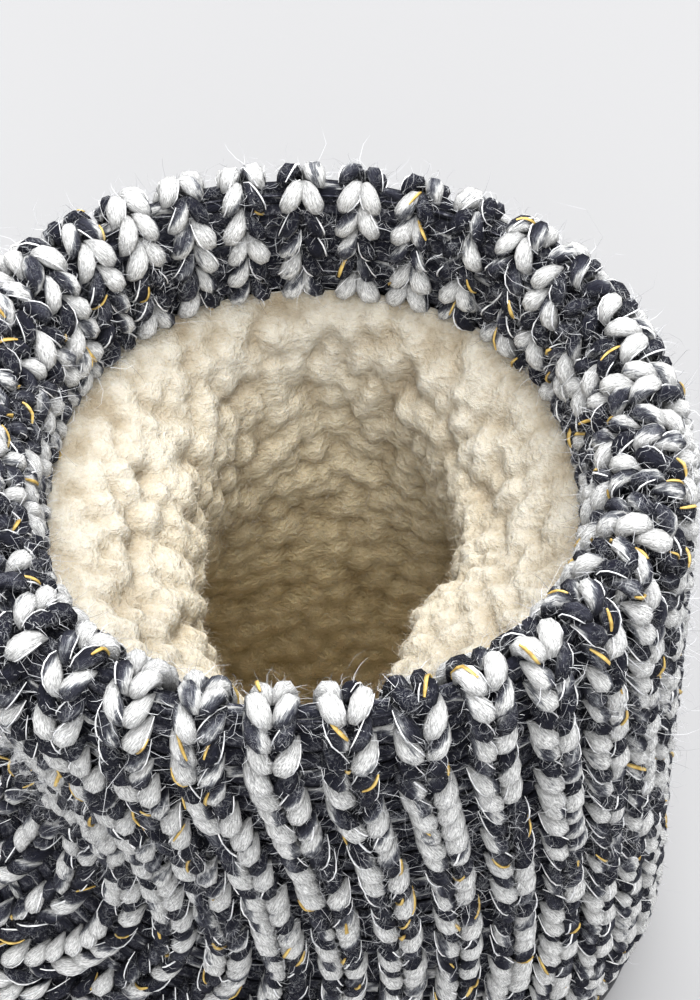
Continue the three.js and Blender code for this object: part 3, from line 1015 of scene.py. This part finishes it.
class BOOTIE_OT_line(bpy.types.Operator):
    """Line the upper with sherpa and its loose fibres"""

    bl_idname = "bootie.line"
    bl_label = "Line with sherpa"

    def execute(self, context):
        knit = in_mm(context.scene.bootie_knit)
        lining = in_mm(context.scene.bootie_lining)
        rng = np.random.default_rng(lining.seed)
        skin = KnitSkin(knit)
        rows = np.concatenate([np.linspace(*part) for part in PILE_ROWS])
        angles = even_angles(rows, np.arange(PILE_COLUMNS) / PILE_COLUMNS)
        wall = loops(rows, angles, pile_depth(rows, angles))
        lip = pile_lip(knit, angles[:1], wall[:1])
        points = spring(np.concatenate([lip, wall])) + skin.shift
        rows = np.concatenate([np.full(LIP_STEPS, LIP_END), rows])
        normals = grid_normals(points)
        inward = points.mean(axis=1, keepdims=True) - points
        normals = normals * np.sign((normals * inward).sum(axis=2).mean())
        height, tone = pile_relief(points, rows, lining)
        points = points + normals * height[..., None]
        faces = faces_above_sole(points, skin, PILE_CLEARANCE)
        # Depth down the throat, which carries the painted bounced light in the pile's colour.
        depth = np.broadcast_to(np.clip((rows - 0.9) / 3.6, 0, 0.95)[:, None], tone.shape)
        values = {"clump": tone.ravel(), "depth": depth.ravel()}
        pile = new_mesh("sherpa_pile", points, faces, sherpa_pile(lining), values)
        level = rng.integers(LIP_STEPS // 2, np.searchsorted(rows, FIBRES_TO_ROW), lining.fibres)
        column = rng.integers(0, PILE_COLUMNS, lining.fibres)
        lengths = FIBRE_SHORTEST + rng.gamma(2.0, 0.5, lining.fibres)
        fibre = loose_fibre("pile fibre", (0.64, 0.60, 0.52), (0.44, 0.38, 0.29), 0.55)
        roots = points[level, column]
        out = normals[level, column]
        loose = strands("pile_fibres", roots, out, lengths, FIBRE_WIDTH, fibre, rng, 0.7, 2.2)
        for piece in (pile, loose):
            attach(piece, "root")
            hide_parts("sherpa_lining")
        return {"FINISHED"}


# Footbed and sole

FOOTBED_THICKNESS = 5.0
FOOTBED_GAP = 0.4
FOOTBED_POINTS = 300
FOOTBED_STRIPS = 60
# Depth of the fleece's ground under the footbed's top, and the nap on it, mm.
FLEECE_SINK = 0.8
NAP_WIDTH = 3.4
NAP_HEIGHT = 0.7
NAP_SEED = 31
SOLE_MARGIN = 2.0
SOLE_POINTS = 480
UNDER_STRIPS = 16
TOP_STRIPS = 6
# Side of the sole from the floor up: height and distance outward from its margin, mm.
SOLE_SIDE = np.array(
    [[0.0, -1.6], [0.2, -1.0], [0.64, -0.48], [1.3, -0.12], [1.92, 0.0], [7.2, 0.0], [7.5, 0.25]]
    + [[7.9, 0.9], [8.3, 1.2], [10.6, 1.2], [11.4, 0.9], [SOLE_THICKNESS, 0.24]]
)
ARCH_START = 88.0
ARCH_RUN = 54.0
ARCH_RISE = 2.6
BAR_CUT = 1.8
BAR_GAP = 3.0
# Stretches with cross bars under the heel and the ball: from, to and pitch, mm.
BARS = ((26.0, 81.0, 13.0), (150.0, 219.0, 13.2))
OUTLINE_ROWS = 700
OUTLINE_COLUMNS = 160


def foot_outline(count, height, depth_of):
    """Outline where a surface drawn in from the knit crosses a height, as points an equal length apart
    from the toe on toward the outer side. Spring is left out."""
    rows = np.linspace(2.0, TOE_ROW, OUTLINE_ROWS)
    column = np.arange(OUTLINE_COLUMNS)
    angles = even_angles(rows, column / OUTLINE_COLUMNS)
    points = loops(rows, angles, depth_of(rows, angles))
    above = points[..., 2] > height
    last = len(rows) - 2 - np.argmax(above[::-1][1:], axis=0)
    high = points[last, column]
    low = points[last + 1, column]
    t = np.clip((high[:, 2] - height) / np.maximum(high[:, 2] - low[:, 2], 1e-6), 0, 1)[:, None]
    line = (high * (1 - t) + low * t)[:, :2]
    closed = np.concatenate([line, line[:1]])
    run = run_of(closed)
    at = np.arange(count) / count * run[-1]
    return np.stack([np.interp(at, run, closed[:, k]) for k in range(2)], axis=1)


def widened(outline, by):
    """Outline moved outward along its own normals."""
    along = unit(np.roll(outline, -1, axis=0) - np.roll(outline, 1, axis=0))
    return outline + by * np.stack([along[:, 1], -along[:, 0]], axis=1)


def laid_across(outline, steps):
    """Grid of strips from one side of an outline to the other, toe to heel."""
    half = len(outline) // 2
    one = outline[: half + 1]
    other = np.concatenate([outline[:1], outline[: half - 1 : -1]])
    t = np.linspace(0, 1, steps)[None, :, None]
    return one[:, None] * (1 - t) + other[:, None] * t


def at_height(flat, height):
    """Points of a flat grid at a height."""
    return np.concatenate([flat, np.broadcast_to(height, flat.shape[:2])[..., None]], axis=2)


class BOOTIE_OT_footbed(bpy.types.Operator):
    """Lay the fleece footbed"""

    bl_idname = "bootie.footbed"
    bl_label = "Lay footbed"

    def execute(self, context):
        skin = KnitSkin(in_mm(context.scene.bootie_knit))
        top = SOLE_TOP + FOOTBED_THICKNESS
        outline = widened(foot_outline(FOOTBED_POINTS, top, pile_depth), -FOOTBED_GAP)
        points = spring(at_height(laid_across(outline, FOOTBED_STRIPS), top - FLEECE_SINK)) + skin.shift
        nap = clumps(points, NAP_WIDTH, NAP_SEED)
        points[..., 2] += NAP_HEIGHT * np.clip(nap, CLUMP_LEAST, 1)
        # Painted shade in the nap's hollows, and the throat's painted bounced light at a fixed depth of 0.6.
        tone = np.clip(0.42 + 0.4 * nap, 0, 1)
        values = {"clump": tone.ravel(), "depth": np.full(tone.size, 0.6)}
        faces = grid_faces(*points.shape[:2], closed=False)[:, ::-1]
        fleece = sherpa_pile(in_mm(context.scene.bootie_lining))
        piece = new_mesh("footbed_fleece", points, faces, fleece, values)
        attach(piece, "root")
        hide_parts("insole")
        return {"FINISHED"}


def tread_rise(x, z):
    """Underside heights: the arch lifts it and the cross bars are cut into it. The arch is a squared sine."""
    share = np.clip((x - ARCH_START) / ARCH_RUN, 0, 1)
    arched = z + ARCH_RISE * np.sin(np.pi * share) ** 2 * np.clip(1 - z / SOLE_THICKNESS, 0, 1)
    cut = np.zeros(x.shape, bool)
    for start, end, pitch in BARS:
        cut |= (x > start) & (x < end) & (np.mod(x - start, pitch) < BAR_GAP)
    return np.where(cut, np.maximum(arched, BAR_CUT), arched)


class BOOTIE_OT_sole(bpy.types.Operator):
    """Mould the outsole"""

    bl_idname = "bootie.sole"
    bl_label = "Mould sole"

    def execute(self, context):
        skin = KnitSkin(in_mm(context.scene.bootie_knit))
        outline = foot_outline(SOLE_POINTS, SOLE_TOP, lambda rows, angles: 0.0)
        rings = []
        for height, outward in SOLE_SIDE:
            edge = widened(outline, SOLE_MARGIN + outward)
            rings.append(np.column_stack([edge, tread_rise(outline[:, 0], np.full(len(edge), height))]))
        side = np.array(rings)
        flat = laid_across(side[0][:, :2], UNDER_STRIPS)
        under = at_height(flat, tread_rise(flat[..., 0], np.zeros(flat.shape[:2])))
        top = at_height(laid_across(side[-1][:, :2], TOP_STRIPS), SOLE_THICKNESS)
        points = []
        faces = []
        start = 0
        for grid, closed, way in ((side, True, 1), (under, False, 1), (top, False, -1)):
            points.append(spring(grid).reshape(-1, 3) + skin.shift)
            faces.append(grid_faces(*grid.shape[:2], closed)[:, ::way] + start)
            start += len(points[-1])
        piece = new_mesh("outsole_rubber", np.concatenate(points), np.concatenate(faces), moulded_rubber())
        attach(piece, "root")
        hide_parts("outsole")
        return {"FINISHED"}


# Stage

FLOOR_HALF = 3000.0
SKY = (0.93, 0.95, 1.0, 1)
SKY_STRENGTH = 0.3
# Square soft lights: name, place and side, mm, and power, W.
LAMPS = (("key", (-200, -780, 2740), 2100, 225.0), ("fill", (-50, 1950, 2440), 2700, 165.0))
LAMP_AIM = (-65, 0, 130)
SENSOR = 36.0
CLIP_START = 0.01


class BOOTIE_OT_stage(bpy.types.Operator):
    """Set the floor, the light and the camera"""

    bl_idname = "bootie.stage"
    bl_label = "Set stage"

    def execute(self, context):
        scene = context.scene
        corners = FLOOR_HALF * np.array([[-1, -1, 0], [1, -1, 0], [1, 1, 0], [-1, 1, 0]])
        floor = new_mesh("floor", corners, np.array([[0, 1, 2, 3]]), pale_floor())
        scene.world = bpy.data.worlds.new("studio")
        scene.world.use_nodes = True
        sky = scene.world.node_tree.nodes["Background"]
        sky.inputs["Color"].default_value = SKY
        sky.inputs["Strength"].default_value = SKY_STRENGTH
        for lamp in LAMPS:
            self.lamp(scene, *lamp)
        self.camera(scene)
        scene.view_settings.view_transform = "Standard"
        return {"FINISHED"}

    @staticmethod
    def lamp(scene, name, place, size, power):
        """A square soft light that faces the collar."""
        data = bpy.data.lights.new(name, "AREA")
        data.size = size * MM
        data.energy = power
        lamp = bpy.data.objects.new(name, data)
        scene.collection.objects.link(lamp)
        lamp.location = Vector(place) * MM
        lamp.rotation_euler = (Vector(LAMP_AIM) - Vector(place)).to_track_quat("-Z", "Y").to_euler()

    @staticmethod
    def camera(scene):
        """The photograph's view: from above and one side, close to the collar."""
        stage = scene.bootie_stage
        data = bpy.data.cameras.new("camera")
        data.lens = stage.lens
        data.sensor_width = SENSOR
        data.dof.use_dof = False
        data.clip_start = CLIP_START
        camera = bpy.data.objects.new("camera", data)
        scene.collection.objects.link(camera)
        a = stage.azimuth
        e = stage.elevation
        back = Vector((math.sin(a) * math.cos(e), -math.cos(a) * math.cos(e), math.sin(e)))
        camera.location = Vector(stage.aim) + back * stage.distance
        camera.rotation_euler = (-back).to_track_quat("-Z", "Y").to_euler()
        scene.camera = camera


OPERATORS = (BOOTIE_OT_knit, BOOTIE_OT_line, BOOTIE_OT_footbed, BOOTIE_OT_sole, BOOTIE_OT_stage)


class BOOTIE_PT_panel(bpy.types.Panel):
    """Bootie tools"""

    bl_idname = "BOOTIE_PT_panel"
    bl_label = "Slipper bootie"
    bl_space_type = "VIEW_3D"
    bl_region_type = "UI"
    bl_category = "Bootie"

    def draw(self, context):
        for operator in OPERATORS:
            self.layout.operator(operator.bl_idname)


SETTINGS = {"bootie_knit": KnitSettings, "bootie_lining": LiningSettings, "bootie_stage": StageSettings}
CLASSES = (*SETTINGS.values(), *OPERATORS, BOOTIE_PT_panel)


def register():
    """Add the tools and their settings."""
    for item in CLASSES:
        bpy.utils.register_class(item)
    for name, group in SETTINGS.items():
        setattr(bpy.types.Scene, name, PointerProperty(type=group))


def unregister():
    """Remove the tools and their settings."""
    for name in SETTINGS:
        delattr(bpy.types.Scene, name)
    for item in reversed(CLASSES):
        bpy.utils.unregister_class(item)


def main():
    """Make every piece and set the stage."""
    register()
    bpy.ops.bootie.knit()
    bpy.ops.bootie.line()
    bpy.ops.bootie.footbed()
    bpy.ops.bootie.sole()
    bpy.ops.bootie.stage()


if __name__ == "__main__":
    main()
